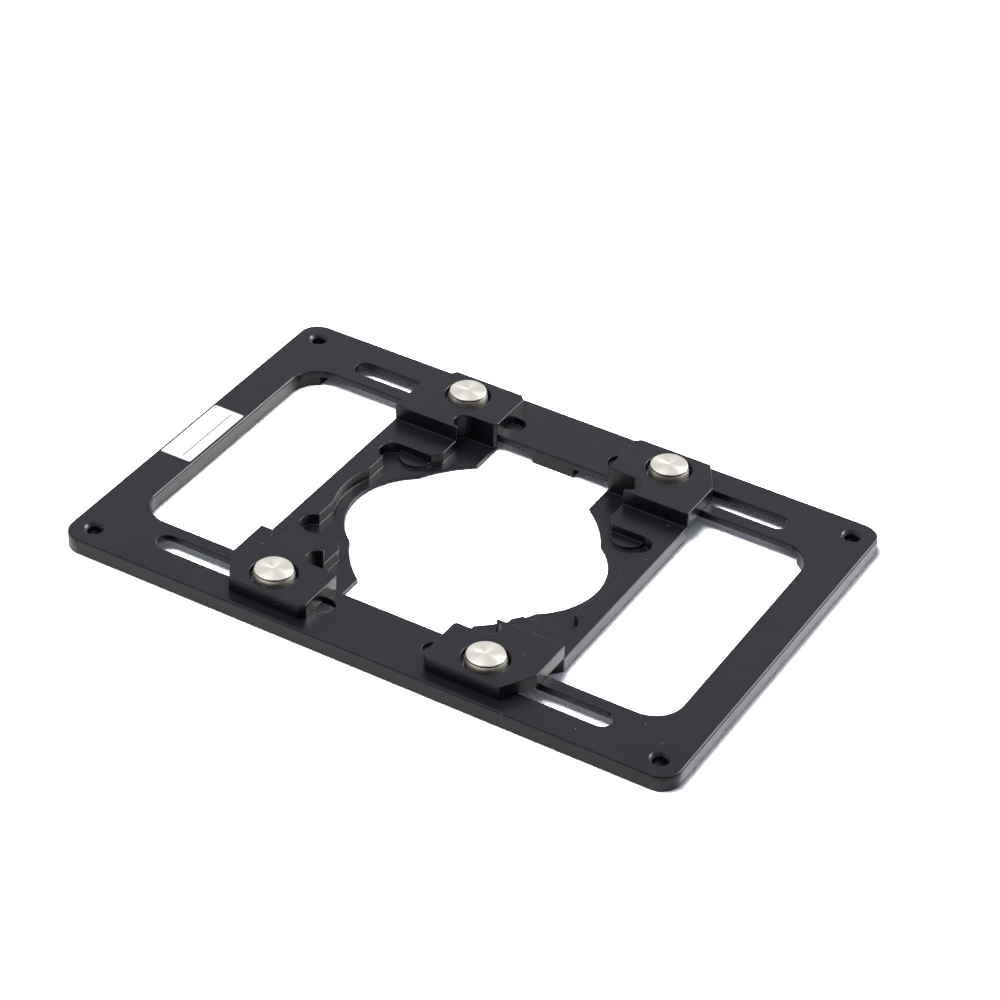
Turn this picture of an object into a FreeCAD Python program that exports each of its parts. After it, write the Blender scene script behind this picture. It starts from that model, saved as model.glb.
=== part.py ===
# Stage insert for an inverted microscope, with the footprint of a standard microplate.
# A slotted frame plate carries two sliding jaws that hold a dish, a slide or a counting
# chamber over the light path. Each jaw is held by two turned studs that pass through the
# slots; a disc spring under each stud's head gives the friction that keeps the jaw where
# it is put.
# Millimetres. The origin is the centre of the frame's underside, X along the long side, Z up.
import FreeCAD, Part
import math
import os
import Sketcher

doc = FreeCAD.newDocument("stage_insert")

# Driving dimensions, one alias each
sizes = {
    # Frame plate
    "frame_length": 127.76,
    "frame_width": 85.48,
    "frame_thick": 3.35,
    "frame_corner": 4.0,
    "end_bar": 8.08,
    "side_bar": 13.54,
    "window_corner": 6.0,
    "slot_inner_end": 9.4,
    "slot_short_of_window": 8.0,
    "slot_width": 4.3,
    "slot_from_window": 5.05,
    "web_thick": 1.4,
    "relief_beyond_slot": 4.9,
    "relief_gap": 0.45,
    "relief_corner": 3.0,
    "edge_break": 0.25,
    # Countersunk tapped corner holes
    "corner_hole_bore": 2.5,
    "corner_hole_sink": 3.9,
    "corner_hole_inset": 4.65,
    # Label on the left bar
    "label_margin": 0.34,
    "label_length": 18.5,
    "label_thick": 0.1,
    "label_corner": 0.4,
    "label_offset_y": -2.05,
    # Jaw, as heights above the frame's underside and lengths across the jaw
    "jaw_place": 22.2,
    "jaw_width": 19.8,
    "jaw_bottom": 0.1,
    "ledge_thick": 0.6,
    "strip_top": 3.0,
    "pad_thick": 2.8,
    "slide_gap": 0.05,
    "window_gap": 0.2,
    "pad_reach_in": 5.8,
    "pad_behind_stud": 5.65,
    "pad_chamfer_across": 3.9,
    "pad_chamfer_along": 6.5,
    "pad_back_break": 1.0,
    "pad_tip_break": 0.5,
    "drop_chamfer_across": 4.9,
    # Nests milled in the jaw, measured from the jaw's centre line
    "plate_nest_wall": 0.7,
    "plate_nest_edge": 3.9,
    "plate_relief_radius": 2.2,
    "plate_relief_reach": 1.9,
    "slide_nest_half": 16.65,
    "slide_nest_edge": 5.1,
    "slide_relief_radius": 2.75,
    "slide_relief_reach": 2.05,
    "small_dish_centre": 11.3,
    "small_dish_nest": 17.6,
    "small_dish_hole": 15.15,
    "large_dish_centre": 26.35,
    "large_dish_nest": 29.1,
    "large_dish_hole": 27.0,
    "boss_across": 1.0,
    "boss_along": 17.0,
    "boss_radius": 3.45,
    "boss_rise": 0.7,
    # Clamp stud, its disc spring, slide washer and nut
    "shank_width": 4.0,
    "shank_gap": 0.1,
    "head_width": 7.7,
    "head_break": 0.28,
    "head_rise": 1.15,
    "counterbore_gap": 0.65,
    "counterbore_floor": 0.6,
    "spring_height": 0.5,
    "spring_thick": 0.25,
    "spring_gap": 0.4,
    "washer_bore_gap": 0.2,
    "slide_washer_width": 8.6,
    "slide_washer_thick": 0.3,
    "nut_across_flats": 7.0,
    "nut_thick": 1.15,
    "thread_gap": 0.05,
    "stud_end_proud": 0.1,
}
sheet = doc.addObject("Spreadsheet::Sheet", "Sizes")
for row, (alias, size) in enumerate(sizes.items(), start=1):
    sheet.set("A%d" % row, alias.replace("_", " "))
    sheet.set("B%d" % row, str(size))
    sheet.setAlias("B%d" % row, alias)
doc.recompute()

# Places along the frame that the pieces share, measured from its centre
half_length = "(Sizes.frame_length / 2)"
half_width = "(Sizes.frame_width / 2)"
window_x = "(%s - Sizes.end_bar)" % half_length
window_y = "(%s - Sizes.side_bar)" % half_width
slot_outer_end = "(%s - Sizes.slot_short_of_window)" % window_x
slot_line = "(%s + Sizes.slot_from_window)" % window_y

# Heights that the pieces share
frame_top = "Sizes.frame_thick"
web_under = "(Sizes.frame_thick - Sizes.web_thick)"
pad_under = "(Sizes.frame_thick + Sizes.slide_gap)"
pad_top = "(Sizes.frame_thick + Sizes.slide_gap + Sizes.pad_thick)"
ledge_top = "(Sizes.jaw_bottom + Sizes.ledge_thick)"
counterbore_bottom = "(%s + Sizes.counterbore_floor)" % pad_under
head_under = "(%s + Sizes.spring_height)" % counterbore_bottom
head_top = "(%s + Sizes.head_rise)" % pad_top
washer_top = "(%s - Sizes.slide_gap)" % web_under
washer_under = "(%s - Sizes.slide_washer_thick)" % washer_top
nut_under = "(%s - Sizes.nut_thick)" % washer_under

counterbore_width = "(Sizes.head_width + 2 * Sizes.counterbore_gap)"


def value(expression):
    return float(sheet.evalExpression(expression))


def minus(expression):
    return "-(%s)" % expression


def new_body(name):
    body = doc.addObject("PartDesign::Body", name)
    body.Label = name
    return body


def new_sketch(body, name, height="0", role="XY_Plane"):
    """A sketch on one of the body's own origin planes, raised by height."""
    plane = [item for item in body.Origin.OriginFeatures if item.Role == role][0]
    sketch = body.newObject("Sketcher::SketchObject", name)
    sketch.AttachmentSupport = [(plane, "")]
    sketch.MapMode = "FlatFace"
    sketch.setExpression("AttachmentOffset.Base.z", height)
    return sketch


def bind(sketch, kind, items, expression):
    """A dimension of the sketch that follows an expression."""
    index = sketch.addConstraint(Sketcher.Constraint(kind, *items, value(expression)))
    sketch.setExpression("Constraints[%d]" % index, expression)


def place_point(sketch, item, end, across, along):
    """Hold a point of the sketch at two expressions, measured from the origin."""
    for kind, axis, expression in (("DistanceX", -2, across), ("DistanceY", -1, along)):
        if value(expression) == 0:
            sketch.addConstraint(Sketcher.Constraint("PointOnObject", item, end, axis))
        else:
            bind(sketch, kind, (-1, 1, item, end), expression)


def draw_outline(sketch, corners):
    """Closed outline through corners (across, along), straight from one to the next."""
    points = [FreeCAD.Vector(value(across), value(along), 0) for across, along in corners]
    lines = []
    for start, end in zip(points, points[1:] + points[:1]):
        lines.append(sketch.addGeometry(Part.LineSegment(start, end), False))
    for line, after, (across, along) in zip(lines, lines[1:] + lines[:1], corners[1:] + corners[:1]):
        sketch.addConstraint(Sketcher.Constraint("Coincident", line, 2, after, 1))
        place_point(sketch, after, 1, across, along)


def draw_rectangle(sketch, left, right, front, back):
    draw_outline(sketch, [(left, front), (right, front), (right, back), (left, back)])


def draw_circle(sketch, across, along, diameter):
    centre = FreeCAD.Vector(value(across), value(along), 0)
    circle = Part.Circle(centre, FreeCAD.Vector(0, 0, 1), value(diameter) / 2)
    item = sketch.addGeometry(circle, False)
    place_point(sketch, item, 3, across, along)
    bind(sketch, "Diameter", (item,), diameter)


def draw_slot(sketch, start, end, along, width):
    """Slot with round ends, from start to end across the sketch."""
    radius = value(width) / 2
    middle = value(along)
    left = FreeCAD.Vector(value(start) + radius, middle, 0)
    right = FreeCAD.Vector(value(end) - radius, middle, 0)
    up = FreeCAD.Vector(0, radius, 0)
    normal = FreeCAD.Vector(0, 0, 1)
    quarter = Part.Circle().LastParameter / 4
    right_cap = sketch.addGeometry(
        Part.ArcOfCircle(Part.Circle(right, normal, radius), -quarter, quarter), False)
    top = sketch.addGeometry(Part.LineSegment(right + up, left + up), False)
    left_cap = sketch.addGeometry(
        Part.ArcOfCircle(Part.Circle(left, normal, radius), quarter, 3 * quarter), False)
    bottom = sketch.addGeometry(Part.LineSegment(left - up, right - up), False)
    for first, second in ((right_cap, top), (top, left_cap), (left_cap, bottom), (bottom, right_cap)):
        sketch.addConstraint(Sketcher.Constraint("Tangent", first, 2, second, 1))
    place_point(sketch, right_cap, 3, "%s - %s / 2" % (end, width), along)
    place_point(sketch, left_cap, 3, "%s + %s / 2" % (start, width), along)
    bind(sketch, "Radius", (right_cap,), "%s / 2" % width)


def draw_nest(sketch, edge, half_along, reach, radius):
    """A nest open towards -X, with its two inner corners cut back by a round relief."""
    centre_x = "(%s + %s - %s)" % (edge, reach, radius)
    centre_y = "(%s - %s)" % (half_along, radius)
    open_end = "-Sizes.jaw_width"
    outer = FreeCAD.Vector(value(open_end), value(half_along), 0)
    centre = FreeCAD.Vector(value(centre_x), value(centre_y), 0)
    arc_radius = value(radius)
    quarter = Part.Circle().LastParameter / 4
    meeting = math.acos((value(edge) - centre.x) / arc_radius)
    tip = FreeCAD.Vector(value(edge), centre.y - arc_radius * math.sin(meeting), 0)
    start = FreeCAD.Vector(centre.x, outer.y, 0)
    normal = FreeCAD.Vector(0, 0, 1)

    def mirrored(point):
        return FreeCAD.Vector(point.x, -point.y, 0)

    back = sketch.addGeometry(Part.LineSegment(outer, start), False)
    back_arc = sketch.addGeometry(
        Part.ArcOfCircle(Part.Circle(centre, normal, arc_radius), -meeting, quarter), False)
    side = sketch.addGeometry(Part.LineSegment(tip, mirrored(tip)), False)
    front_arc = sketch.addGeometry(
        Part.ArcOfCircle(Part.Circle(mirrored(centre), normal, arc_radius), -quarter, meeting), False)
    front = sketch.addGeometry(Part.LineSegment(mirrored(start), mirrored(outer)), False)
    closing = sketch.addGeometry(Part.LineSegment(mirrored(outer), outer), False)
    sketch.addConstraint(Sketcher.Constraint("Tangent", back, 2, back_arc, 2))
    sketch.addConstraint(Sketcher.Constraint("Coincident", back_arc, 1, side, 1))
    sketch.addConstraint(Sketcher.Constraint("Coincident", side, 2, front_arc, 2))
    sketch.addConstraint(Sketcher.Constraint("Tangent", front_arc, 1, front, 1))
    sketch.addConstraint(Sketcher.Constraint("Coincident", front, 2, closing, 1))
    sketch.addConstraint(Sketcher.Constraint("Coincident", closing, 2, back, 1))
    sketch.addConstraint(Sketcher.Constraint("Horizontal", back))
    sketch.addConstraint(Sketcher.Constraint("Horizontal", front))
    sketch.addConstraint(Sketcher.Constraint("Vertical", side))
    sketch.addConstraint(Sketcher.Constraint("Vertical", closing))
    bind(sketch, "Radius", (back_arc,), radius)
    bind(sketch, "Radius", (front_arc,), radius)
    place_point(sketch, back_arc, 3, centre_x, centre_y)
    place_point(sketch, front_arc, 3, centre_x, minus(centre_y))
    bind(sketch, "DistanceX", (-1, 1, side, 1), edge)
    bind(sketch, "DistanceX", (-1, 1, back, 1), open_end)


def add_pad(body, name, sketch, length):
    pad = body.newObject("PartDesign::Pad", name)
    pad.Profile = sketch
    pad.setExpression("Length", length)
    doc.recompute()
    return pad


def cut_pocket(body, name, sketch, depth=None):
    """Cut down from the sketch: by depth, or through everything."""
    before = body.Shape.Volume
    pocket = body.newObject("PartDesign::Pocket", name)
    pocket.Profile = sketch
    if depth is None:
        pocket.Type = "ThroughAll"
    else:
        pocket.setExpression("Length", depth)
    doc.recompute()
    if not body.Shape.Volume < before:
        raise RuntimeError("%s cuts nothing" % name)
    return pocket


def dress(body, kind, name, edges, property_name, size):
    """Round or chamfer the chosen edges of the body."""
    base = body.Tip
    before = body.Shape.Volume
    dressing = body.newObject(kind, name)
    dressing.Base = (base, edges)
    dressing.setExpression(property_name, size)
    doc.recompute()
    if body.Shape.Volume == before:
        raise RuntimeError("%s changes nothing" % name)


def round_upright_edges(body, name, radius, chosen):
    """Round the upright edges whose places across and along satisfy chosen."""
    edges = []
    for number, edge in enumerate(body.Shape.Edges, start=1):
        box = edge.BoundBox
        upright = box.XLength + box.YLength < 1e-6
        if upright and chosen(box.Center.x, box.Center.y):
            edges.append("Edge%d" % number)
    dress(body, "PartDesign::Fillet", name, edges, "Radius", radius)


def chamfer_edges(body, name, size, chosen):
    """Chamfer the edges whose bounding box satisfies chosen."""
    edges = ["Edge%d" % number for number, edge in enumerate(body.Shape.Edges, start=1)
             if chosen(edge.BoundBox)]
    dress(body, "PartDesign::Chamfer", name, edges, "Size", size)


def revolve(body, name, sketch):
    turned = body.newObject("PartDesign::Revolution", name)
    turned.Profile = sketch
    turned.ReferenceAxis = (sketch, ["V_Axis"])
    turned.Angle = 360
    doc.recompute()


def make_frame_plate():
    body = new_body("frame_plate")
    blank = new_sketch(body, "plate_outline")
    draw_rectangle(blank, minus(half_length), half_length, minus(half_width), half_width)
    add_pad(body, "plate", blank, frame_top)
    round_upright_edges(body, "plate_corners", "Sizes.frame_corner", lambda x, y: True)

    window = new_sketch(body, "window_outline", frame_top)
    draw_rectangle(window, minus(window_x), window_x, minus(window_y), window_y)
    cut_pocket(body, "window", window)
    at_window = abs(value(window_x)) - 1e-3
    round_upright_edges(body, "window_corners", "Sizes.window_corner",
                        lambda x, y: at_window < abs(x) < at_window + 2e-3)

    # The bars are thinner where the jaws' washers and nuts run under them
    relief = new_sketch(body, "relief_outline", web_under)
    relief_back = "%s + Sizes.slide_washer_width / 2 + Sizes.relief_gap" % slot_line
    for side_x in (1, -1):
        for side_y in (1, -1):
            ends = ["Sizes.slot_inner_end - Sizes.relief_beyond_slot",
                    "%s + Sizes.relief_beyond_slot" % slot_outer_end]
            sides = ["%s - Sizes.window_corner" % window_y, relief_back]
            if side_x < 0:
                ends = [minus(end) for end in reversed(ends)]
            if side_y < 0:
                sides = [minus(side) for side in reversed(sides)]
            draw_rectangle(relief, ends[0], ends[1], sides[0], sides[1])
    cut_pocket(body, "bar_relief", relief)
    at_back = value(relief_back) - 1e-3
    round_upright_edges(body, "relief_corners", "Sizes.relief_corner",
                        lambda x, y: at_back < abs(y) < at_back + 2e-3)

    slots = new_sketch(body, "slot_outline", frame_top)
    for line in (slot_line, minus(slot_line)):
        draw_slot(slots, "Sizes.slot_inner_end", slot_outer_end, line, "Sizes.slot_width")
        draw_slot(slots, minus(slot_outer_end), "-Sizes.slot_inner_end", line, "Sizes.slot_width")
    cut_pocket(body, "slots", slots)

    holes = new_sketch(body, "corner_hole_places", frame_top)
    for side_x in ("", "-"):
        for side_y in ("", "-"):
            draw_circle(holes, "%s(%s - Sizes.corner_hole_inset)" % (side_x, half_length),
                        "%s(%s - Sizes.corner_hole_inset)" % (side_y, half_width),
                        "Sizes.corner_hole_bore")
    drilled = body.newObject("PartDesign::Hole", "corner_holes")
    drilled.Profile = holes
    doc.recompute()
    drilled.ThreadType = "None"
    drilled.DepthType = "ThroughAll"
    drilled.HoleCutType = "Countersink"
    drilled.HoleCutCountersinkAngle = 90
    drilled.setExpression("Diameter", "Sizes.corner_hole_bore")
    drilled.setExpression("HoleCutDiameter", "Sizes.corner_hole_sink")
    doc.recompute()

    top = value(frame_top)
    outer_rim = (value(half_length), value(half_width))
    window_rim = (value(window_x), value(window_y))

    def on_rim(box):
        if box.ZLength > 1e-6:
            return False
        far_x = max(abs(box.XMin), abs(box.XMax))
        far_y = max(abs(box.YMin), abs(box.YMax))
        rims = [outer_rim, window_rim] if abs(box.ZMax - top) < 1e-6 else [outer_rim]
        return any(abs(far_x - x) < 1e-3 or abs(far_y - y) < 1e-3 for x, y in rims)

    chamfer_edges(body, "broken_rims", "Sizes.edge_break", on_rim)
    return body


def make_blank_label():
    body = new_body("blank_label")
    outline = new_sketch(body, "label_outline", frame_top)
    draw_rectangle(outline, "%s + Sizes.label_margin" % minus(half_length),
                   "%s - Sizes.label_margin" % minus(window_x),
                   "Sizes.label_offset_y - Sizes.label_length / 2",
                   "Sizes.label_offset_y + Sizes.label_length / 2")
    add_pad(body, "label", outline, "Sizes.label_thick")
    round_upright_edges(body, "label_corners", "Sizes.label_corner", lambda x, y: True)
    return body


def make_jaw(name, side):
    """One jaw about its own centre line, its dish side towards -X, set at its place."""
    body = new_body(name)
    half = "Sizes.jaw_width / 2"
    beyond = "Sizes.jaw_width"
    drop_half = "(%s - Sizes.window_gap)" % window_y
    pad_front = "(%s - Sizes.pad_reach_in)" % window_y
    pad_back = "(%s + Sizes.pad_behind_stud)" % slot_line

    # The middle drops into the window, with its outer corners cut to clear the window's
    drop = new_sketch(body, "drop_outline", "Sizes.jaw_bottom")
    bevel = "%s - Sizes.drop_chamfer_across" % half
    draw_outline(drop, [
        (minus(half), minus(drop_half)), (bevel, minus(drop_half)),
        (half, minus(pad_front)), (half, pad_front),
        (bevel, drop_half), (minus(half), drop_half)])
    add_pad(body, "drop_body", drop, "%s - Sizes.jaw_bottom" % pad_top)

    # A pad at each end rests on the frame's bar
    pads = new_sketch(body, "pad_outline", pad_under)
    for sign in ("", "-"):
        back = sign + pad_back
        front = sign + pad_front
        toward = "-" if sign == "" else "+"
        draw_outline(pads, [
            (minus(half), front), (half, front),
            (half, "%s %s Sizes.pad_chamfer_along" % (back, toward)),
            ("%s - Sizes.pad_chamfer_across" % half, back),
            ("%s + Sizes.pad_back_break" % minus(half), back),
            (minus(half), "%s %s Sizes.pad_back_break" % (back, toward))])
    add_pad(body, "pads", pads, "Sizes.pad_thick")

    strip = new_sketch(body, "strip_outline", pad_top)
    draw_rectangle(strip, minus(beyond), beyond, minus(pad_front), pad_front)
    cut_pocket(body, "strip_recess", strip, "%s - Sizes.strip_top" % pad_top)

    # Nests for a plate and for a slide, with round reliefs for their sharp corners
    plate_nest_half = "(%s - Sizes.plate_nest_wall)" % drop_half
    for title, rim, edge, reach, half_along, radius in (
            ("plate", pad_top, "-Sizes.plate_nest_edge", "Sizes.plate_relief_reach",
             plate_nest_half, "Sizes.plate_relief_radius"),
            ("slide", "Sizes.strip_top", "Sizes.slide_nest_edge", "Sizes.slide_relief_reach",
             "Sizes.slide_nest_half", "Sizes.slide_relief_radius")):
        depth = "%s - %s" % (rim, ledge_top)
        nest = new_sketch(body, title + "_nest_outline", rim)
        draw_nest(nest, edge, half_along, reach, radius)
        cut_pocket(body, title + "_nest", nest, depth)

    tip = (-value(half), value(plate_nest_half))

    def at_tip(box):
        at_corner = abs(box.XMin - tip[0]) < 1e-3 and abs(abs(box.Center.y) - tip[1]) < 1e-3
        return at_corner and box.XLength + box.YLength < 1e-6

    chamfer_edges(body, "pad_tips", "Sizes.pad_tip_break", at_tip)

    # Two round nests share their centres with the light holes in the ledge
    for title in ("small_dish", "large_dish"):
        centre = "-Sizes.%s_centre" % title
        nest = new_sketch(body, title + "_nest_outline", "Sizes.strip_top")
        draw_circle(nest, centre, "0", "2 * Sizes.%s_nest" % title)
        cut_pocket(body, title + "_nest", nest, "Sizes.strip_top - %s" % ledge_top)

    bosses = new_sketch(body, "boss_outline", ledge_top)
    for sign in ("", "-"):
        draw_circle(bosses, "Sizes.boss_across", "%sSizes.boss_along" % sign,
                    "2 * Sizes.boss_radius")
    add_pad(body, "bosses", bosses, "Sizes.boss_rise")

    for title in ("small_dish", "large_dish"):
        hole = new_sketch(body, title + "_hole_outline", pad_top)
        draw_circle(hole, "-Sizes.%s_centre" % title, "0", "2 * Sizes.%s_hole" % title)
        cut_pocket(body, title + "_hole", hole)

    for title, width, depth in (
            ("stud_hole", "Sizes.shank_width + 2 * Sizes.shank_gap", None),
            ("counterbore", counterbore_width, "Sizes.pad_thick - Sizes.counterbore_floor")):
        holes = new_sketch(body, title + "_outline", pad_top)
        for sign in ("", "-"):
            draw_circle(holes, "0", sign + slot_line, width)
        cut_pocket(body, title, holes, depth)

    place = "Sizes.jaw_place"
    if side < 0:
        body.Placement.Rotation = FreeCAD.Rotation(FreeCAD.Vector(0, 0, 1), 180)
        place = minus(place)
    body.setExpression("Placement.Base.x", place)
    return body


def set_at_clamp(body, side, end):
    """Move a body to the clamp at one end of one jaw."""
    body.setExpression("Placement.Base.x", "%d * Sizes.jaw_place" % side)
    body.setExpression("Placement.Base.y", "%d * %s" % (end, slot_line))


def make_stud(name):
    body = new_body(name)
    head = "Sizes.head_width / 2"
    shank = "Sizes.shank_width / 2"
    end = "%s - Sizes.stud_end_proud" % nut_under
    profile = new_sketch(body, name + "_profile", role="XZ_Plane")
    draw_outline(profile, [
        ("0", end), (shank, end), (shank, head_under), (head, head_under),
        (head, "%s - Sizes.head_break" % head_top),
        ("%s - Sizes.head_break" % head, head_top), ("0", head_top)])
    revolve(body, name + "_turned", profile)
    return body


def make_disc_spring(name):
    """A coned washer: its outer rim sits in the counterbore, its bore edge lifts the head."""
    body = new_body(name)
    rim = "%s / 2 - Sizes.spring_gap" % counterbore_width
    bore = "Sizes.shank_width / 2 + Sizes.washer_bore_gap"
    profile = new_sketch(body, name + "_profile", role="XZ_Plane")
    draw_outline(profile, [
        (rim, counterbore_bottom),
        (rim, "%s + Sizes.spring_thick" % counterbore_bottom),
        (bore, head_under),
        (bore, "%s - Sizes.spring_thick" % head_under)])
    revolve(body, name + "_formed", profile)
    return body


def make_slide_washer(name):
    body = new_body(name)
    outline = new_sketch(body, name + "_outline", washer_under)
    draw_circle(outline, "0", "0", "Sizes.slide_washer_width")
    draw_circle(outline, "0", "0", "Sizes.shank_width + 2 * Sizes.washer_bore_gap")
    add_pad(body, name + "_disc", outline, "Sizes.slide_washer_thick")
    return body


def make_nut(name):
    body = new_body(name)
    outline = new_sketch(body, name + "_outline", nut_under)
    flat = "Sizes.nut_across_flats / 2"
    corner = "Sizes.nut_across_flats / sqrt(3)"
    side = "Sizes.nut_across_flats / sqrt(3) / 2"
    draw_outline(outline, [
        (corner, "0"), (side, flat), (minus(side), flat),
        (minus(corner), "0"), (minus(side), minus(flat)), (side, minus(flat))])
    draw_circle(outline, "0", "0", "Sizes.shank_width + 2 * Sizes.thread_gap")
    add_pad(body, name + "_hexagon", outline, "Sizes.nut_thick")
    return body


bodies = [make_frame_plate(), make_blank_label()]
makers = (("stud", make_stud), ("disc_spring", make_disc_spring),
          ("slide_washer", make_slide_washer), ("nut", make_nut))
for side_name, side in (("left", -1), ("right", 1)):
    bodies.append(make_jaw(side_name + "_jaw", side))
    for end_name, end in (("far", 1), ("near", -1)):
        for piece_name, maker in makers:
            piece = maker("%s_%s_%s" % (side_name, end_name, piece_name))
            set_at_clamp(piece, side, end)
            bodies.append(piece)
doc.recompute()

for item in doc.Objects:
    if "Invalid" in item.State or "Error" in item.State:
        raise RuntimeError("%s did not rebuild: %s" % (item.Name, item.State))

os.makedirs("parts", exist_ok=True)
for body in bodies:
    shape = body.Shape
    if shape.isNull() or not shape.isValid():
        raise RuntimeError("%s has no valid shape" % body.Label)
    shape.exportStep("parts/%s.step" % body.Label)
    print("%-26s %d solid %9.2f mm3" % (body.Label, len(shape.Solids), shape.Volume))
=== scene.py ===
# %% [markdown]
# A stage insert for an inverted microscope: a black anodised frame with the footprint of a
# microplate, and two sliding jaws that hold a dish, a slide or a small plate over the light
# path. Four turned steel studs clamp the jaws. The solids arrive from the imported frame, at
# their real size and in metres, and this lesson gives them their finish, their light and
# the small forms that the eye expects on machined metal.

# %% Load the frame and keep its box
import math
import bmesh
import bpy
from mathutils import Matrix, Vector


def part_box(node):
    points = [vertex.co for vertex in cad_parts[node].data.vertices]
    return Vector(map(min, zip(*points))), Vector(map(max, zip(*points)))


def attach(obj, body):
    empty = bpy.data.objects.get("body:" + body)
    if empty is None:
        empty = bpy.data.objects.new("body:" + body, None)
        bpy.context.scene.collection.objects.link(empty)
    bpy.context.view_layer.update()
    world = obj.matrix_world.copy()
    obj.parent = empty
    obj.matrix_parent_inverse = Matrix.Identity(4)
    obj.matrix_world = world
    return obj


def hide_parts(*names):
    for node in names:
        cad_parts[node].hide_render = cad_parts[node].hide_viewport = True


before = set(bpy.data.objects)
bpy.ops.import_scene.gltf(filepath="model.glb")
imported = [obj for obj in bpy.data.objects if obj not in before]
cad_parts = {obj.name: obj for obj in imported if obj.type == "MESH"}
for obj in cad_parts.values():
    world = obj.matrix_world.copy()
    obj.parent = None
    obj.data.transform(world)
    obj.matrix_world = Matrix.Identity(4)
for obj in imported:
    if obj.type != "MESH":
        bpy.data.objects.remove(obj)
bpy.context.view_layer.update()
mm = 0.001

# %% [markdown]
# The camera stands where it did for the picture. Its direction, distance and lens were
# worked out from the frame's own corners, whose real distances are known, so straight
# edges fall in the same places as in the picture. A long lens keeps the far bar nearly as
# large as the near one.

# %% The camera
view_azimuth = math.radians(28.472)
view_elevation = math.radians(36.157)
view_roll = math.radians(3.154)
view_distance = 631.59 * mm
view_lens = 119.762
aim = Vector((-3.50, 15.15, 0)) * mm


def camera_axes(azimuth, elevation, roll):
    """Right, up and back of a camera that looks down at the object."""
    back = Vector((math.sin(azimuth) * math.cos(elevation),
                   -math.cos(azimuth) * math.cos(elevation),
                   math.sin(elevation)))
    right = Vector((0, 0, 1)).cross(back).normalized()
    up = back.cross(right)
    turned_right = math.cos(roll) * right + math.sin(roll) * up
    turned_up = math.cos(roll) * up - math.sin(roll) * right
    return turned_right, turned_up, back


def add_camera():
    right, up, back = camera_axes(view_azimuth, view_elevation, view_roll)
    camera = bpy.data.objects.new("camera", bpy.data.cameras.new("camera"))
    camera.data.lens = view_lens
    camera.data.clip_start = 0.01
    camera.data.clip_end = 20
    turn = Matrix((right, up, back)).transposed()
    camera.matrix_world = Matrix.Translation(aim + back * view_distance) @ turn.to_4x4()
    bpy.context.scene.collection.objects.link(camera)
    bpy.context.scene.camera = camera
    return camera


camera = add_camera()
print("camera at", [round(x, 3) for x in camera.location])

# %% [markdown]
# Colours are written as six hex digits, the way a paint program shows them. Shaders work
# with linear light, so one function converts them. Each finish is a small tree of nodes.
# It could be drawn by hand in the shader editor, but built in the script every value stays
# readable, and one helper adds a node, sets it and links it in a single line.

# %% Colours and a node helper
def srgb(text):
    """A colour as written in a paint program, made linear for the shader."""
    parts = [int(text[i:i + 2], 16) / 255 for i in (1, 3, 5)]
    linear = [p / 12.92 if p <= 0.04045 else ((p + 0.055) / 1.055) ** 2.4 for p in parts]
    return (*linear, 1.0)


def add_node(tree, kind, inputs=None, **settings):
    """One node with its settings; an input is a plain value or another node's output."""
    node = tree.nodes.new(kind)
    for name, setting in settings.items():
        setattr(node, name, setting)
    for name, given in (inputs or {}).items():
        if isinstance(given, bpy.types.NodeSocket):
            tree.links.new(given, node.inputs[name])
        else:
            node.inputs[name].default_value = given
    return node


def new_material(name):
    material = bpy.data.materials.new(name)
    material.use_nodes = True
    material.node_tree.nodes.clear()
    return material, material.node_tree


print("mid grey in linear light:", round(srgb("#808080")[0], 3))

# %% [markdown]
# The insert lies on a plain white table. The picture is exposed for the black metal, so the
# table comes out plain white, and its open shadows nearly so. A higher exposure would lift
# the metal too. Here only the table's colour is raised, for camera rays and a little for
# mirrored ones, so the deep shadows in the slots stay. To all else it is a satin white
# board that throws its light up into the windows and under the jaws.

# %% The table
board_white = srgb("#f4f4f4")
seen_gain = 2.2
mirrored_gain = 0.3
table_half = 3.0
table_drop = 0.02 * mm


def table_material():
    """Satin white board. The camera and reflections see it brighter than it lights."""
    material, tree = new_material("white_table")
    matt = add_node(tree, "ShaderNodeBsdfDiffuse", {"Color": board_white})
    satin = add_node(tree, "ShaderNodeBsdfPrincipled", {
        "Base Color": board_white, "Roughness": 0.3, "IOR": 1.9})
    rays = add_node(tree, "ShaderNodeLightPath")
    board = add_node(tree, "ShaderNodeMixShader", {0: rays.outputs["Is Camera Ray"],
                                                   1: satin.outputs[0], 2: matt.outputs[0]})
    seen = add_node(tree, "ShaderNodeMath", {0: rays.outputs["Is Camera Ray"], 1: seen_gain},
                    operation="MULTIPLY")
    mirrored = add_node(tree, "ShaderNodeMath", {0: rays.outputs["Is Glossy Ray"],
                                                 1: mirrored_gain, 2: seen.outputs[0]},
                        operation="MULTIPLY_ADD")
    more = add_node(tree, "ShaderNodeBsdfDiffuse", {"Color": mirrored.outputs[0]})
    bright = add_node(tree, "ShaderNodeAddShader", {0: board.outputs[0], 1: more.outputs[0]})
    add_node(tree, "ShaderNodeOutputMaterial", {"Surface": bright.outputs[0]})
    return material


table_mesh = bpy.data.meshes.new("table")
table_mesh.from_pydata([(x * table_half, y * table_half, -table_drop)
                        for x, y in ((-1, -1), (1, -1), (1, 1), (-1, 1))], [], [(0, 1, 2, 3)])
table_mesh.materials.append(table_material())
table = bpy.data.objects.new("table", table_mesh)
bpy.context.scene.collection.objects.link(table)
print("table, m across:", 2 * table_half)

# %% [markdown]
# The room around a product table gives the soft light that no lamp gives, and metal shows
# the room as a mirror does. A picture of a real room is often used, but this lesson reads
# no pictures, so the world has three plain tones and each ray meets one: matt surfaces are
# lit by a dim grey, gloss mirrors a pale blue-grey, and the camera sees white.

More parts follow.
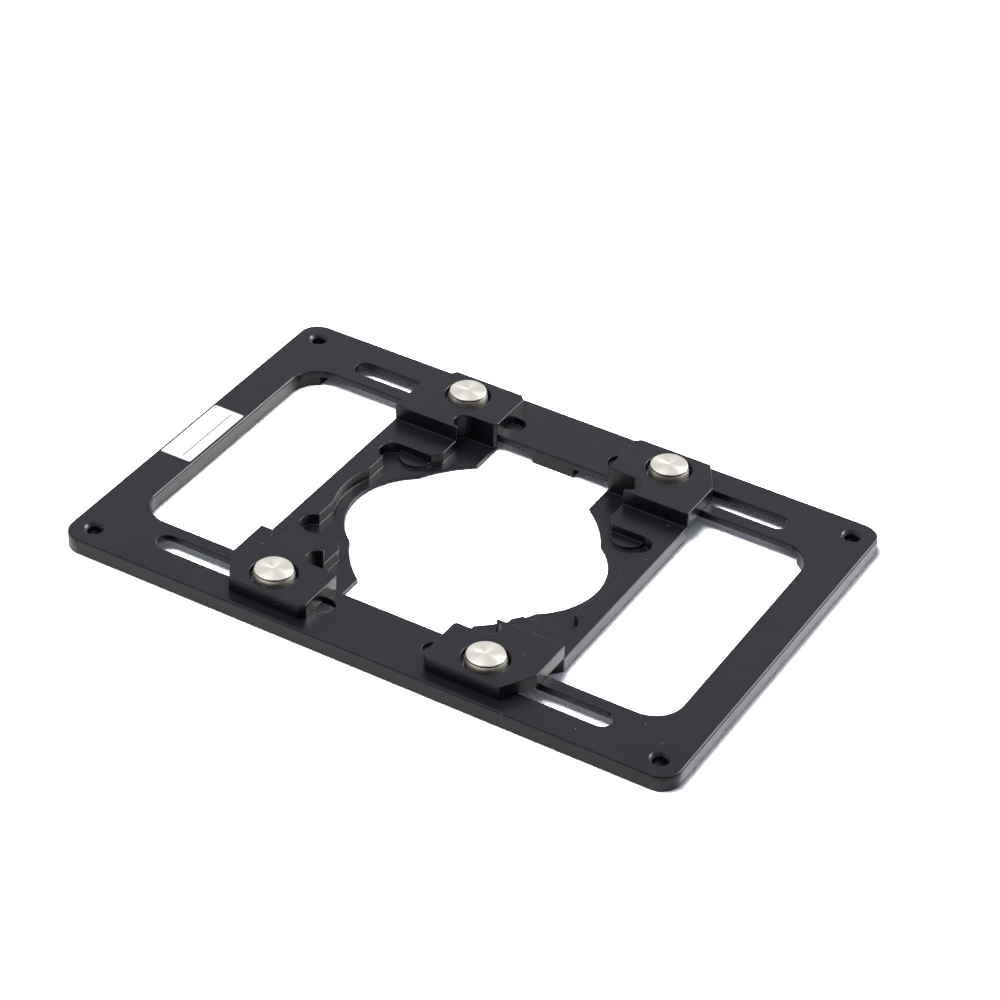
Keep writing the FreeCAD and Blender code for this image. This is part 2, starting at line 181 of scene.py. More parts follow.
# %% The room
def light_room(dim, mirrored, seen):
    world = bpy.data.worlds.new("studio")
    bpy.context.scene.world = world
    world.use_nodes = True
    tree = world.node_tree
    tree.nodes.clear()
    for_matt, for_gloss, for_camera = (
        add_node(tree, "ShaderNodeBackground", {"Color": srgb(colour), "Strength": 1.0})
        for colour in (dim, mirrored, seen))
    rays = add_node(tree, "ShaderNodeLightPath")
    given = add_node(tree, "ShaderNodeMixShader", {
        0: rays.outputs["Is Glossy Ray"], 1: for_matt.outputs[0], 2: for_gloss.outputs[0]})
    mixed = add_node(tree, "ShaderNodeMixShader", {
        0: rays.outputs["Is Camera Ray"], 1: given.outputs[0], 2: for_camera.outputs[0]})
    add_node(tree, "ShaderNodeOutputWorld", {"Surface": mixed.outputs[0]})


light_room("#5d6068", "#dcdde7", "#ffffff")
print("room:", bpy.context.scene.world.name)

# %% [markdown]
# A wide softbox hangs over the insert, a little to the left, so shadows are short and fall
# to the right. It is made of two lamps at one place, one that lights and one that is only
# mirrored, so the sheen on the black tops can be set apart from the shadows. A third lamp
# stands behind on the right and is for the gloss only: the satin table mirrors it, and the
# walls that face right mirror the table, which is why they are the brightest surfaces of
# the insert.

# %% The softboxes
softbox_size = 0.7
over_left = (-0.40, -0.10, 1.10)
behind_right = (0.58, 1.07, 0.89)


def add_softbox(name, place, power, matt=True, gloss=True):
    """A square lamp aimed at the insert, seen by matt surfaces, by gloss or by both."""
    lamp = bpy.data.lights.new(name, "AREA")
    lamp.shape = "SQUARE"
    lamp.size = softbox_size
    lamp.energy = power
    softbox = bpy.data.objects.new(name, lamp)
    softbox.location = place
    softbox.rotation_euler = (-Vector(place)).to_track_quat("-Z", "Y").to_euler()
    softbox.visible_diffuse = matt
    softbox.visible_glossy = gloss
    bpy.context.scene.collection.objects.link(softbox)


add_softbox("top_softbox", over_left, 15.0, gloss=False)
add_softbox("sheen_softbox", over_left, 8.0, matt=False)
add_softbox("gloss_softbox", behind_right, 29.0, matt=False)
bpy.context.scene.view_settings.view_transform = "Standard"

# %% [markdown]
# The room is dark low down behind the camera and at the camera's stand. Polished steel needs
# that: without something dark to mirror it looks like white plastic. Two upright panels do
# it. They are hidden from every ray but the glossy ones, so they cast no shadow.

# %% The dark side of the room
def add_dark_panel(name, distance, width, height, colour):
    """An upright panel on the camera's side, this far from the insert; only gloss sees it."""
    back = Vector((math.sin(view_azimuth), -math.cos(view_azimuth), 0))
    side = Vector((-back.y, back.x, 0))
    feet = [back * distance + side * width / 2, back * distance - side * width / 2]
    heads = [foot + Vector((0, 0, height)) for foot in reversed(feet)]
    mesh = bpy.data.meshes.new(name)
    mesh.from_pydata(feet + heads, [], [(0, 1, 2, 3)])
    material, tree = new_material(name)
    dark = add_node(tree, "ShaderNodeEmission", {"Color": srgb(colour), "Strength": 1.0})
    add_node(tree, "ShaderNodeOutputMaterial", {"Surface": dark.outputs[0]})
    mesh.materials.append(material)
    panel = bpy.data.objects.new(name, mesh)
    for ray in ("camera", "diffuse", "transmission", "shadow"):
        setattr(panel, "visible_" + ray, False)
    bpy.context.scene.collection.objects.link(panel)


panels = (("curtain", 0.8, 5.0, 0.55, "#332e26"), ("camera_stand", 0.75, 0.4, 1.2, "#2b2824"))
for panel in panels:
    add_dark_panel(*panel)
print("dark panels:", [name for name, *sizes in panels])

# %% [markdown]
# Black anodised aluminium. The part is milled, bead blasted and then dyed in the bath, so
# the eye sees a blue-black skin with a soft sheen, a very fine grain from the beads, cloudy
# differences in gloss where hands have touched it, and a few pale specks of dust. Noise in
# the shader gives all three, so no picture has to be wrapped round the part.

# %% Black anodised aluminium
bead_mark = 0.25 * mm  # Real ones are about 0.05 mm across; drawn wider so that they show
handled_patch = 14 * mm
dust_spacing = 1.6 * mm


def anodised_material():
    material, tree = new_material("black_anodised_aluminium")
    place = add_node(tree, "ShaderNodeTexCoord")
    here = place.outputs["Object"]
    beads = add_node(tree, "ShaderNodeTexNoise", {"Vector": here, "Scale": 1 / bead_mark,
                                                  "Detail": 2.0, "Roughness": 0.6})
    clouds = add_node(tree, "ShaderNodeTexNoise", {"Vector": here, "Scale": 1 / handled_patch,
                                                   "Detail": 3.0, "Roughness": 0.55})
    gloss = add_node(tree, "ShaderNodeMapRange", {
        "Value": clouds.outputs[0], "From Min": 0.3, "From Max": 0.7,
        "To Min": 0.28, "To Max": 0.34})
    # Dust: the few cells of a fine cell pattern whose random number is highest
    cells = add_node(tree, "ShaderNodeTexVoronoi", {"Vector": here, "Scale": 1 / dust_spacing})
    chance = add_node(tree, "ShaderNodeSeparateColor", {"Color": cells.outputs["Color"]})
    rare = add_node(tree, "ShaderNodeMath", {0: chance.outputs[0], 1: 0.93},
                    operation="GREATER_THAN")
    near = add_node(tree, "ShaderNodeMath", {0: cells.outputs["Distance"], 1: 0.07},
                    operation="LESS_THAN")
    speck = add_node(tree, "ShaderNodeMath", {0: rare.outputs[0], 1: near.outputs[0]},
                     operation="MULTIPLY")
    dye = add_node(tree, "ShaderNodeMix", {"Factor": clouds.outputs[0], "A": srgb("#0d0d14"),
                                           "B": srgb("#12121a")}, data_type="RGBA")
    colour = add_node(tree, "ShaderNodeMix", {
        "Factor": speck.outputs[0], "A": dye.outputs["Result"], "B": srgb("#8b8c90")},
        data_type="RGBA")
    grain = add_node(tree, "ShaderNodeBump", {"Height": beads.outputs[0], "Strength": 0.12,
                                              "Distance": 0.02 * mm})
    skin = add_node(tree, "ShaderNodeBsdfPrincipled", {
        "Base Color": colour.outputs["Result"], "Roughness": gloss.outputs[0], "IOR": 1.42,
        "Normal": grain.outputs[0]})
    add_node(tree, "ShaderNodeOutputMaterial", {"Surface": skin.outputs[0]})
    return material


anodised = anodised_material()
print("finish:", anodised.name)

# %% [markdown]
# A milled part is never left with knife edges. A file or a small cutter breaks each outer
# edge by one or two tenths of a millimetre, and the cutter's own corner leaves a small
# round at the foot of each wall. Those strips catch the light as thin pale lines, and they
# tell the eye more about the metal than its flat faces do. The solids have sharp edges
# here, so a copy of each is merged, its flat faces are made whole, and a Bevel modifier
# breaks the edges. First come two helpers that all pieces share.

# %% Keep a piece and hang it on its body
def finish_piece(piece, body, nodes, material):
    """Hang a finished piece on its body in the place of its solids."""
    piece.data.materials.clear()
    piece.data.materials.append(material)
    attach(piece, body)
    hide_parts(*nodes)
    print(piece.name, "faces:", len(piece.data.polygons))


def freeze(thing, name):
    """Turn an object with modifiers into a plain mesh object, and delete the first."""
    graph = bpy.context.evaluated_depsgraph_get()
    mesh = bpy.data.meshes.new_from_object(thing.evaluated_get(graph))
    bpy.data.objects.remove(thing)
    piece = bpy.data.objects.new(name, mesh)
    bpy.context.scene.collection.objects.link(piece)
    return piece


# %% [markdown]
# A solid arrives as loose triangles. Broken edges need whole faces, so corners at the same
# place are welded and the lines inside flat faces dissolved. The weld reaches a little
# further than that, to swallow slivers that a strip could not run along.

# %% A solid with whole faces
weld = 0.06 * mm
flat_turn = math.radians(1)


def merged_copy(node_name):
    """A node's mesh as whole faces with shared corners."""
    form = bmesh.new()
    form.from_mesh(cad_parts[node_name].data)
    bmesh.ops.remove_doubles(form, verts=form.verts, dist=weld)
    bmesh.ops.dissolve_limit(form, angle_limit=flat_turn, verts=form.verts,
                             edges=form.edges, delimit={"NORMAL"})
    mesh = bpy.data.meshes.new(node_name + "_merged")
    form.to_mesh(mesh)
    form.free()
    thing = bpy.data.objects.new(mesh.name, mesh)
    bpy.context.scene.collection.objects.link(thing)
    print(node_name, "whole faces:", len(mesh.polygons))
    return thing


milled = {name: merged_copy(name) for name in ("frame_plate", "left_jaw", "right_jaw")}

# %% [markdown]
# One width for all would tear the mesh where two edges lie closer together than the strip
# is wide, so each edge has a weight: less there, hardly any under the pads where nothing
# was filed, and none on the frame's underside.

# %% How wide each strip may be
hair = 0.01 * mm
pad_under = 3.4 * mm
curve_turn = math.radians(35)  # Faces that meet at less belong to one curve
blunt_turn = math.radians(40)  # A neighbour that turns away by less shares the strip
sharp_turn = math.radians(150)
shared_part = 0.45
hidden_weight = 0.1


def edge_room(edge, width):
    """How much of the width an edge can take before its strip meets the next edge."""
    room = 1.0
    for face in edge.link_faces:
        for corner in edge.verts:
            beside = next(e for e in corner.link_edges
                          if e is not edge and face in e.link_faces)
            along = edge.other_vert(corner).co - corner.co
            turn = math.pi - along.angle(beside.other_vert(corner).co - corner.co)
            if turn > sharp_turn:
                room = 0.0
            elif turn > blunt_turn:
                room = min(room, shared_part * beside.calc_length() / width)
    return room


def weigh_edges(mesh, width, hidden_from, sharp_under):
    """Give each edge its weight: nearly none under the pads, none below sharp_under."""
    form = bmesh.new()
    form.from_mesh(mesh)
    weight = form.edges.layers.float.new("bevel_weight_edge")
    for edge in form.edges:
        if len(edge.link_faces) == 2 and edge.calc_face_angle() > curve_turn:
            edge[weight] = edge_room(edge, width)
            if all(abs(v.co.y) > hidden_from and v.co.z < pad_under + hair
                   for v in edge.verts):
                edge[weight] = min(edge[weight], hidden_weight)
            if all(v.co.z < sharp_under for v in edge.verts):
                edge[weight] = 0.0
    form.to_mesh(mesh)
    form.free()


web_under = 1.95 * mm
foot_wall = 28.9 * mm
nowhere = 1.0
frame_break = 0.12 * mm
jaw_break = 0.17 * mm
weigh_edges(milled["frame_plate"].data, frame_break, nowhere, web_under + hair)
weigh_edges(milled["left_jaw"].data, jaw_break, foot_wall, 0.0)
weigh_edges(milled["right_jaw"].data, jaw_break, foot_wall, 0.0)
print("edge breaks, mm:", round(frame_break / mm, 2), round(jaw_break / mm, 2))

# %% [markdown]
# The Bevel modifier cuts each strip in two facets, which is enough for a highlight at this
# size, and hardened normals keep the flat faces flat. The result is frozen to a plain mesh
# that takes the place of the sharp solid.

# %% The milled pieces
def break_edges(thing, width):
    bevel = thing.modifiers.new("broken edges", "BEVEL")
    bevel.width = width
    bevel.segments = 2
    bevel.limit_method = "WEIGHT"
    bevel.use_clamp_overlap = False
    bevel.harden_normals = True


for node_name, body, width in (("frame_plate", "frame", frame_break),
                               ("left_jaw", "left_slider", jaw_break),
                               ("right_jaw", "right_slider", jaw_break)):
    break_edges(milled[node_name], width)
    finish_piece(freeze(milled[node_name], node_name + "_milled"), body,
                 [node_name], anodised)

# %% [markdown]
# Turned stainless steel. A lathe faces the stud's head from the rim to the middle, which
# leaves fine rings; each ring scatters light across itself, so a flat turned face shows
# pale rays that meet in the middle. Modelled rings would cost a million faces and still be
# coarser than the real ones. In the shader they are an anisotropic gloss whose tangent runs
# round the stud's axis, with a faint ring bump on the faced top.

# %% Turned stainless steel
stud_low, stud_high = (Vector(corner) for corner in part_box("right_far_stud"))
clamp_place = (stud_low + stud_high) / 2
clamp_place.z = 0
print("clamp place, mm:", [round(x / mm, 2) for x in clamp_place])
feed_mark = 0.16 * mm  # Real ones are 0.05 mm apart; drawn wider so that they show
rubbed_patch = 1.2 * mm


def steel_material(name, colour, faced, side, brushed):
    """Steel with one roughness on level faces, another on sides, brushed round the clamp."""
    material, tree = new_material(name)
    place = add_node(tree, "ShaderNodeTexCoord")
    here = place.outputs["Object"]
    clouds = add_node(tree, "ShaderNodeTexNoise", {"Vector": here, "Scale": 1 / rubbed_patch,
                                                   "Detail": 3.0})
    surface = add_node(tree, "ShaderNodeNewGeometry")
    facing = add_node(tree, "ShaderNodeSeparateXYZ", {0: surface.outputs["Normal"]})
    level = add_node(tree, "ShaderNodeMath", {0: facing.outputs[2], 1: 0.95},
                     operation="GREATER_THAN")
    base = add_node(tree, "ShaderNodeMapRange", {"Value": level.outputs[0], "To Min": side,
                                                 "To Max": faced})
    gloss = add_node(tree, "ShaderNodeMath", {0: clouds.outputs[0], 1: 0.06,
                                              2: base.outputs[0]}, operation="MULTIPLY_ADD")
    # The four clamps stand at mirrored places, so one corner serves for all
    folded = add_node(tree, "ShaderNodeVectorMath", {0: here}, operation="ABSOLUTE")
    off_centre = add_node(tree, "ShaderNodeVectorMath", {0: folded.outputs[0], 1: clamp_place},
                          operation="SUBTRACT")
    across = add_node(tree, "ShaderNodeVectorMath", {0: off_centre.outputs[0], 1: (1, 1, 0)},
                      operation="MULTIPLY")
    corner = add_node(tree, "ShaderNodeVectorMath", {0: here}, operation="SIGN")
    unfolded = add_node(tree, "ShaderNodeVectorMath", {
        0: across.outputs[0], 1: corner.outputs[0]}, operation="MULTIPLY")
    round_axis = add_node(tree, "ShaderNodeVectorMath", {
        0: (0, 0, 1), 1: unfolded.outputs[0]}, operation="CROSS_PRODUCT")
    from_axis = add_node(tree, "ShaderNodeVectorMath", {0: across.outputs[0]},
                         operation="LENGTH")
    turn = add_node(tree, "ShaderNodeMath", {0: from_axis.outputs["Value"],
                                             1: 2 * math.pi / feed_mark}, operation="MULTIPLY")
    wave = add_node(tree, "ShaderNodeMath", {0: turn.outputs[0]}, operation="SINE")
    ridge = add_node(tree, "ShaderNodeMath", {0: wave.outputs[0], 1: level.outputs[0]},
                     operation="MULTIPLY")
    grain = add_node(tree, "ShaderNodeBump", {"Height": ridge.outputs[0], "Strength": 0.15,
                                              "Distance": 0.004 * mm})
    # Turned rings scatter light across themselves, a quarter turn from their own direction
    skin = add_node(tree, "ShaderNodeBsdfPrincipled", {
        "Base Color": srgb(colour), "Metallic": 1.0, "Roughness": gloss.outputs[0],
        "Anisotropic": brushed, "Anisotropic Rotation": 0.25,
        "Tangent": round_axis.outputs[0], "Normal": grain.outputs[0]})
    add_node(tree, "ShaderNodeOutputMaterial", {"Surface": skin.outputs[0]})
    return material


turned_steel = steel_material("turned_stainless_steel", "#f6f0e0", 0.265, 0.27, 0.75)
spring_steel = steel_material("hardened_spring_steel", "#8d8b86", 0.32, 0.3, 0.3)
nut_steel = steel_material("zinc_plated_steel", "#c6c8ca", 0.27, 0.25, 0.2)
print("finishes:", [steel.name for steel in (turned_steel, spring_steel, nut_steel)])

# %% [markdown]
# The slide washers under the frame are natural white acetal, a hard bearing plastic with a
# waxy look: off-white, half matt and slightly cloudy. The label is a smoother and whiter
# film. One function makes both, and only the colours, the roughness and the size of the
# clouds differ.

# %% White acetal and the label's film
def plastic_material(name, light, dark, roughness, patch):
    material, tree = new_material(name)
    place = add_node(tree, "ShaderNodeTexCoord")
    clouds = add_node(tree, "ShaderNodeTexNoise", {"Vector": place.outputs["Object"],
                                                   "Scale": 1 / patch, "Detail": 2.0})
    colour = add_node(tree, "ShaderNodeMix", {"Factor": clouds.outputs[0], "A": srgb(dark),
                                              "B": srgb(light)}, data_type="RGBA")
    grain = add_node(tree, "ShaderNodeBump", {"Height": clouds.outputs[0], "Strength": 0.05,
                                              "Distance": 0.02 * mm})
    skin = add_node(tree, "ShaderNodeBsdfPrincipled", {
        "Base Color": colour.outputs["Result"], "Roughness": roughness, "IOR": 1.48,
        "Normal": grain.outputs[0]})
    add_node(tree, "ShaderNodeOutputMaterial", {"Surface": skin.outputs[0]})
    return material


acetal = plastic_material("white_acetal", "#e9e6dc", "#dfdcd0", 0.4, 2 * mm)
label_film = plastic_material("white_label_film", "#fefefc", "#fafaf8", 0.45, 3 * mm)
print("finishes:", acetal.name, label_film.name)

# %% [markdown]
# Studs, disc springs, slide washers and nuts are turned parts that repeat four times, so
# Geometry Nodes make them. A tree starts from a circle of edges, pulls it out once for
# each ring of the profile and sets every ring to its radius and height, which is how a
# lathe thinks of a part. A Screw modifier on a drawn profile would turn it too, but here
# the sizes come in as named inputs and can be changed one by one.

# %% A lathe made of nodes
ring_points = 72
ring_weld = 0.001 * mm


def ring_place(tree, given, ring, reach):
    """Where a point belongs that lies on a ring with this radius and height."""
    place = add_node(tree, "GeometryNodeInputPosition")
    flat = add_node(tree, "ShaderNodeVectorMath", {0: place.outputs[0], 1: (1, 1, 0)},
                    operation="MULTIPLY")
    direction = add_node(tree, "ShaderNodeVectorMath", {0: flat.outputs[0]},
                         operation="NORMALIZE")
    radius = given[ring + " radius"]
    if reach:
        radius = add_node(tree, "ShaderNodeMath", {0: radius, 1: reach},
                          operation="MINIMUM").outputs[0]
    outward = add_node(tree, "ShaderNodeVectorMath", {0: direction.outputs[0], "Scale": radius},
                       operation="SCALE")
    rise = add_node(tree, "ShaderNodeCombineXYZ", {"Z": given[ring + " height"]})
    return add_node(tree, "ShaderNodeVectorMath", {0: outward.outputs[0], 1: rise.outputs[0]},
                    operation="ADD").outputs[0]


def turn_rings(tree, given, rings, closed, reach=None):
    """A turned skin through the rings. A closed one joins the last ring to the first."""
    start = add_node(tree, "GeometryNodeMeshCircle", {"Vertices": ring_points, "Radius": 1.0},
                     fill_type="NONE" if closed else "NGON")
    skin = add_node(tree, "GeometryNodeSetPosition", {
        "Geometry": start.outputs[0], "Position": ring_place(tree, given, rings[0], reach)})
    last_ring = True
    for ring in rings[1:] + (rings[:1] if closed else []):
        pulled = add_node(tree, "GeometryNodeExtrudeMesh", {
            "Mesh": skin.outputs[0], "Selection": last_ring, "Offset Scale": 0.0}, mode="EDGES")
        last_ring = pulled.outputs["Top"]
        skin = add_node(tree, "GeometryNodeSetPosition", {
            "Geometry": pulled.outputs[0], "Selection": last_ring,
            "Position": ring_place(tree, given, ring, reach)})
    return add_node(tree, "GeometryNodeMergeByDistance", {
        "Geometry": skin.outputs[0], "Distance": ring_weld}).outputs[0]


print("points round each ring:", ring_points)

# %% [markdown]
# Each jaw has a near and a far clamp, so the tree puts two copies of its shape at the ends
# of a short line of points. Copies are instances, which have no mesh of their own, so they
# are made real before they get their material.

# %% Copies at the clamps and a tree with named inputs
def set_at_clamps(tree, given, shape, material):
    """Two copies of the shape, at the near and the far clamp of one jaw."""
    near = add_node(tree, "ShaderNodeVectorMath", {0: given["clamp place"], 1: (1, -1, 1)},
                    operation="MULTIPLY")
    step = add_node(tree, "ShaderNodeVectorMath", {0: given["clamp place"], 1: (0, 2, 0)},
                    operation="MULTIPLY")
    places = add_node(tree, "GeometryNodeMeshLine", {
        "Count": 2, "Start Location": near.outputs[0], "Offset": step.outputs[0]})
    copies = add_node(tree, "GeometryNodeInstanceOnPoints", {"Points": places.outputs[0],
                                                             "Instance": shape})
    real = add_node(tree, "GeometryNodeRealizeInstances", {"Geometry": copies.outputs[0]})
    finish = add_node(tree, "GeometryNodeSetMaterial", {"Geometry": real.outputs[0],
                                                        "Material": material})
    add_node(tree, "NodeGroupOutput", {0: finish.outputs[0]})


def new_tree(name, rings, numbers=()):
    """A tree with a radius and a height for each ring, further numbers and the clamp place."""
    tree = bpy.data.node_groups.new(name, "GeometryNodeTree")
    tree.interface.new_socket("Geometry", in_out="OUTPUT", socket_type="NodeSocketGeometry")
    words = [ring + word for ring in rings for word in (" radius", " height")]
    for word in words + list(numbers):
        tree.interface.new_socket(word, in_out="INPUT", socket_type="NodeSocketFloat")
    tree.interface.new_socket("clamp place", in_out="INPUT", socket_type="NodeSocketVector")
    return tree, add_node(tree, "NodeGroupInput").outputs


print("from the far to the near clamp, mm:", round(2 * clamp_place.y / mm, 2))

# %% [markdown]
# A tree makes nothing by itself. A modifier runs it with the sizes of one part, once for
# each jaw, and what comes out is kept as a plain mesh: one piece for each jaw, because a
# piece can ride on one body only.

# %% Run a tree for both jaws
smooth_turn = math.radians(30)


def make_from_tree(tree, inputs, name):
    """Run a tree with these inputs and keep what it makes as a plain mesh."""
    thing = bpy.data.objects.new(tree.name, bpy.data.meshes.new(tree.name))
    bpy.context.scene.collection.objects.link(thing)
    maker = thing.modifiers.new("maker", "NODES")
    maker.node_group = tree
    for socket in tree.interface.items_tree:
        if socket.in_out == "INPUT":
            maker[socket.identifier] = inputs[socket.name]
    piece = freeze(thing, name)
    outward = bmesh.new()
    outward.from_mesh(piece.data)
    bmesh.ops.recalc_face_normals(outward, faces=outward.faces)
    outward.to_mesh(piece.data)
    outward.free()
    piece.data.shade_smooth()
    piece.data.set_sharp_from_angle(angle=smooth_turn)
    return piece


def make_pairs(kind, tree, sizes, material):
    """One pair of pieces for each jaw, in the place of the solids of that kind."""
    for side, sign in (("left", -1), ("right", 1)):
        inputs = {word: size * mm for word, size in sizes.items()}
        inputs["clamp place"] = (sign * clamp_place.x, clamp_place.y, 0)
        piece = make_from_tree(tree, inputs, "%s_%ss" % (side, kind))
        nodes = ["%s_%s_%s" % (side, end, kind) for end in ("far", "near")]
        finish_piece(piece, side + "_slider", nodes, material)


def ring_sizes(profile):
    """The inputs of a tree from its profile: for each ring a radius and a height."""
    sizes = {}
    for ring, (radius, height) in profile.items():
        sizes[ring + " radius"] = radius
        sizes[ring + " height"] = height
    return sizes


print("inputs of one ring:", ring_sizes({"rim": (2.0, 0.5)}))

# %% [markdown]
# The stud: a faced cap with a broken rim, a narrow groove under it, a side that widens
# downwards, and a shank that ends in a fine thread. A small centre mark is left where the
# facing tool stopped. Height and width are read from the solid, so the stud fits its
# counterbore. A modelled groove this narrow hardly darkens, so the shade in it is painted:
# a dark line in the steel's colour round the stud.

# %% Clamp studs
head_radius = (stud_high.x - stud_low.x) / 2 / mm
head_top = stud_high.z / mm
stud_end = stud_low.z / mm
cap_step = 0.27
cap_radius = head_radius - cap_step
groove_depth = 0.14
groove_top = head_top - 0.25
groove_foot = head_top - 0.45
head_under = 4.5
shank_radius = 2.0
centre_mark = 0.22
thread_pitch = 0.5
thread_depth = 0.22


def paint_where(material, bands, colour):
    """Paint a material where each band's coordinate is near enough to its middle."""
    tree = material.node_tree
    place = add_node(tree, "ShaderNodeTexCoord")
    parts = add_node(tree, "ShaderNodeSeparateXYZ", {0: place.outputs["Object"]})
    where = 1.0
    for axis, middle, half_width in bands:
        near = add_node(tree, "ShaderNodeMath", {0: parts.outputs[axis], 1: middle,
                                                 2: half_width}, operation="COMPARE")
        where = add_node(tree, "ShaderNodeMath", {0: near.outputs[0], 1: where},
                         operation="MULTIPLY").outputs[0]
    skin = next(node for node in tree.nodes if node.type == "BSDF_PRINCIPLED")
    base = skin.inputs["Base Color"]
    bare = base.links[0].from_socket if base.is_linked else tuple(base.default_value)
    paint = add_node(tree, "ShaderNodeMix", {"Factor": where, "A": bare, "B": srgb(colour)},
                     data_type="RGBA")
    tree.links.new(paint.outputs["Result"], base)


# Painted shade: the steel's colour turns dark in a thin band at the groove under the cap.
groove_shade_half = 0.11 * mm
paint_where(turned_steel, [("Z", (groove_top + groove_foot) / 2 * mm, groove_shade_half)], "#1c1a18")

stud_profile = {
    "centre mark": (centre_mark * 0.5, head_top - 0.05),
    "centre rim": (centre_mark, head_top),
    "facing": (cap_radius - 0.22, head_top),
    "facing edge": (cap_radius - 0.18, head_top - 0.015),
    "bevel edge": (cap_radius - 0.02, head_top - 0.15),
    "cap side": (cap_radius, head_top - 0.19),
    "cap foot": (cap_radius - 0.01, groove_top),
    "groove top": (cap_radius - groove_depth, groove_top - 0.03),
    "groove foot": (cap_radius - groove_depth, groove_foot + 0.03),
    "side top": (cap_radius + 0.03, groove_foot),
    "side wide": (head_radius, head_top - 1.25),
    "side foot": (head_radius, head_under + 0.06),
    "head foot": (head_radius - 0.06, head_under),
    "shoulder": (shank_radius, head_under),
    "thread start": (shank_radius, stud_end + 4 * thread_pitch)}
for turn in (3, 2, 1):
    height = stud_end + turn * thread_pitch
    stud_profile["groove %d" % turn] = (shank_radius - thread_depth, height + thread_pitch / 2)
    stud_profile["crest %d" % turn] = (shank_radius, height)
stud_profile["end rim"] = (shank_radius - thread_depth, stud_end)
stud_profile["end middle"] = (0.0, stud_end)

stud_tree, given = new_tree("clamp_stud", stud_profile)
set_at_clamps(stud_tree, given, turn_rings(stud_tree, given, list(stud_profile), False),
              turned_steel)
make_pairs("stud", stud_tree, ring_sizes(stud_profile), turned_steel)

# %% [markdown]
# The disc spring is a coned washer that presses the jaw down, and the slide washer a flat
# ring on which the clamp slides under the web. Their edges are just taken off. Both are
# closed profiles of eight rings, so one function gives both from their solids' boxes.

# %% Disc springs and slide washers
washer_bore = 2.2
washer_break = 0.04


def washer_profile(node, cone, bore_radius, thick, rim_break):
    """Rings of a washer from its solid's box; the bore stands higher by cone."""
    low, high = (Vector(corner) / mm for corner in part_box(node))
    rim = (high.x - low.x) / 2
    low_rim, low_bore = low.z, low.z + cone
    return {
        "rim foot": (rim - rim_break, low_rim),
        "rim low": (rim, low_rim + rim_break),
        "rim high": (rim, low_rim + thick - rim_break),
        "rim top": (rim - rim_break, low_rim + thick),
        "bore top": (bore_radius + rim_break, low_bore + thick),
        "bore high": (bore_radius, low_bore + thick - rim_break),
        "bore low": (bore_radius, low_bore + rim_break),
        "bore foot": (bore_radius + rim_break, low_bore)}


for kind, cone, thick, slot, material in (
        ("disc_spring", 0.25, 0.25, "spring_steel", spring_steel),
        ("slide_washer", 0.0, 0.3, "slide_polymer", acetal)):
    profile = washer_profile("right_far_" + kind, cone, washer_bore, thick, washer_break)
    tree, given = new_tree(kind, profile)
    set_at_clamps(tree, given, turn_rings(tree, given, list(profile), True), material)
    make_pairs(kind, tree, ring_sizes(profile), material)

# %% [markdown]
# The nut is a hexagon whose corners are turned off at a slant, with a threaded bore. It
# could be cut with Boolean nodes, but those leave a mesh that differs from run to run. The
# lathe tree makes it too: each ring goes out to its own radius or to the nearest flat,
# whichever comes first. A ring wider than the flats comes out as a hexagon, and the rings
# of the slant leave the arcs that a real nut shows on its flats.

# %% Nuts
nut_low, nut_high = (Vector(corner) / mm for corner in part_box("right_far_nut"))
corner_radius = (nut_high.x - nut_low.x) / 2
flat_distance = (nut_high.y - nut_low.y) / 2
nut_middle = (nut_high.z + nut_low.z) / 2
face_radius = flat_distance * 0.97
corner_break = 0.3
slant_steps = 4
bore_radius = 2.05
bore_lead = 0.25
bore_thread = 0.12


def hexagon_reach(tree, given):
    """How far the hexagon reaches in the direction of each point; a corner points along X."""
    place = add_node(tree, "GeometryNodeInputPosition")
    parts = add_node(tree, "ShaderNodeSeparateXYZ", {0: place.outputs[0]})
    angle = add_node(tree, "ShaderNodeMath", {0: parts.outputs[1], 1: parts.outputs[0]},
                     operation="ARCTAN2")
    sixth = add_node(tree, "ShaderNodeMath", {0: angle.outputs[0], 1: math.pi / 3},
                     operation="FLOORED_MODULO")
    off_flat = add_node(tree, "ShaderNodeMath", {0: sixth.outputs[0], 1: math.pi / 6},
                        operation="SUBTRACT")
    slope = add_node(tree, "ShaderNodeMath", {0: off_flat.outputs[0]}, operation="COSINE")
    return add_node(tree, "ShaderNodeMath", {0: given["flat distance"], 1: slope.outputs[0]},
                    operation="DIVIDE").outputs[0]


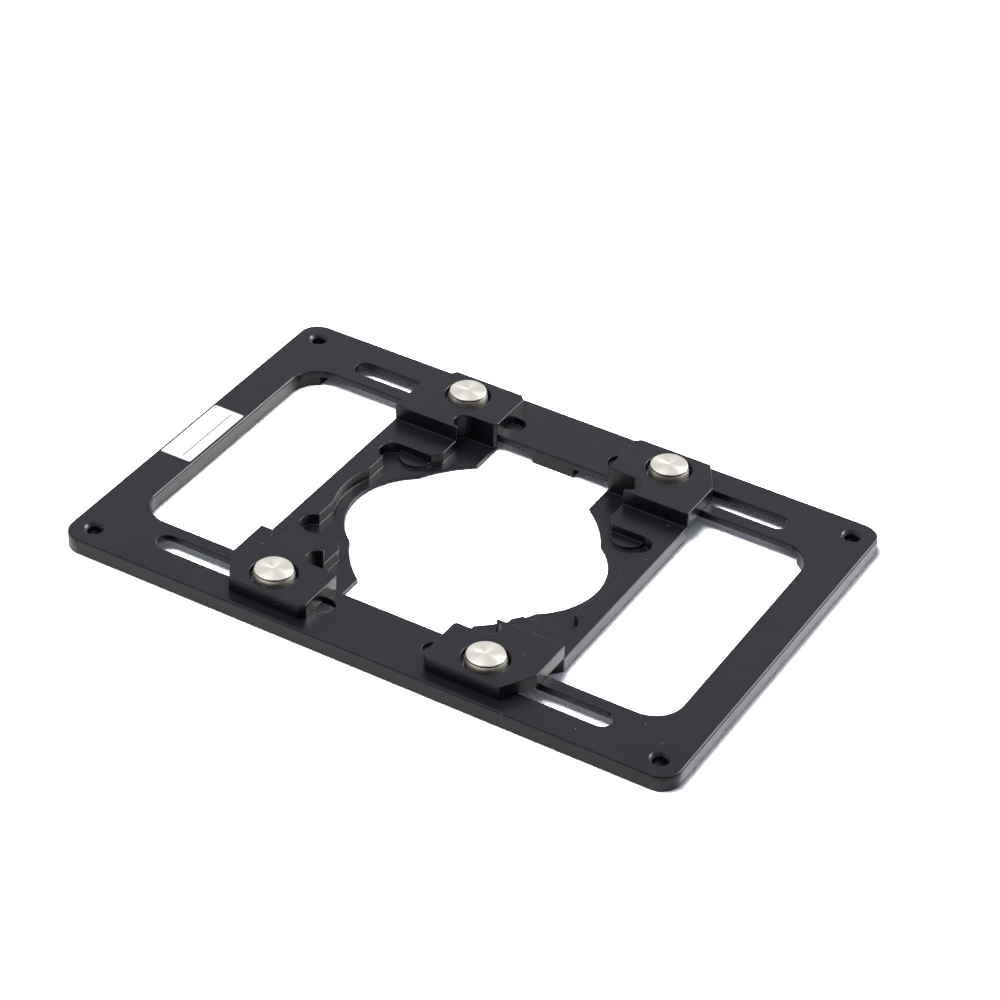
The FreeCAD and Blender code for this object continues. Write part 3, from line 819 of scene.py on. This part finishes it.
nut_profile = {}
for end, face, inward, steps in (("low", nut_low.z, 1, range(slant_steps + 1)),
                                 ("high", nut_high.z, -1, range(slant_steps, -1, -1))):
    for step in steps:
        share = step / slant_steps
        nut_profile["%s slant %d" % (end, step)] = (
            face_radius + share * (corner_radius - face_radius),
            face + inward * share * corner_break)
nut_profile.update({
    "bore top": (bore_radius + bore_lead, nut_high.z),
    "bore high": (bore_radius, nut_high.z - bore_lead),
    "bore groove": (bore_radius + bore_thread, nut_middle),
    "bore low": (bore_radius, nut_low.z + bore_lead),
    "bore foot": (bore_radius + bore_lead, nut_low.z)})
print("nut:", {ring: [round(size, 2) for size in place] for ring, place in nut_profile.items()})

nut_tree, given = new_tree("nut", nut_profile, ("flat distance",))
nut = turn_rings(nut_tree, given, list(nut_profile), True, hexagon_reach(nut_tree, given))
set_at_clamps(nut_tree, given, nut, nut_steel)
nut_sizes = {**ring_sizes(nut_profile), "flat distance": flat_distance}
make_pairs("nut", nut_tree, nut_sizes, nut_steel)

# %% [markdown]
# The label on the left bar is a bare strip of white film with one thin plain rule along it.
# A cut strip of film has slightly rounded corners and never reaches quite to the edges of
# the metal under it, so a new piece takes the place of the plain solid. The rule is printed,
# so it belongs in the material: dark ink wherever two distances are both small.

# %% The label's film
label_low, label_high = (Vector(corner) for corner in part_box("blank_label"))
label_middle = (label_low + label_high) / 2
film_inset = Vector((0.34, 0.04, 0)) * mm
rule_middle = label_middle + Vector((1.05, 0, 0)) * mm
rule_width = 0.16 * mm
rule_length = 0.885 * (label_high.y - label_low.y)
film_corner = 0.35 * mm


def cut_film(low, high, corner, name):
    """A thin plate between two corners, with its upright edges rounded."""
    form = bmesh.new()
    bmesh.ops.create_cube(form, size=1.0)
    size = high - low
    bmesh.ops.transform(form, verts=form.verts, matrix=Matrix.Translation((low + high) / 2)
                        @ Matrix.Diagonal((size.x, size.y, size.z, 1)))
    upright = [e for e in form.edges if abs(e.verts[0].co.z - e.verts[1].co.z) > size.z / 2]
    bmesh.ops.bevel(form, geom=upright, offset=corner, segments=5, affect="EDGES", profile=0.5)
    mesh = bpy.data.meshes.new(name)
    form.to_mesh(mesh)
    form.free()
    piece = bpy.data.objects.new(name, mesh)
    bpy.context.scene.collection.objects.link(piece)
    return piece


film = cut_film(label_low + film_inset, label_high - film_inset, film_corner, "label_film")
paint_where(label_film, [("X", rule_middle.x, rule_width / 2),
                         ("Y", rule_middle.y, rule_length / 2)], "#3c3b3d")
finish_piece(film, "frame", ["blank_label"], label_film)
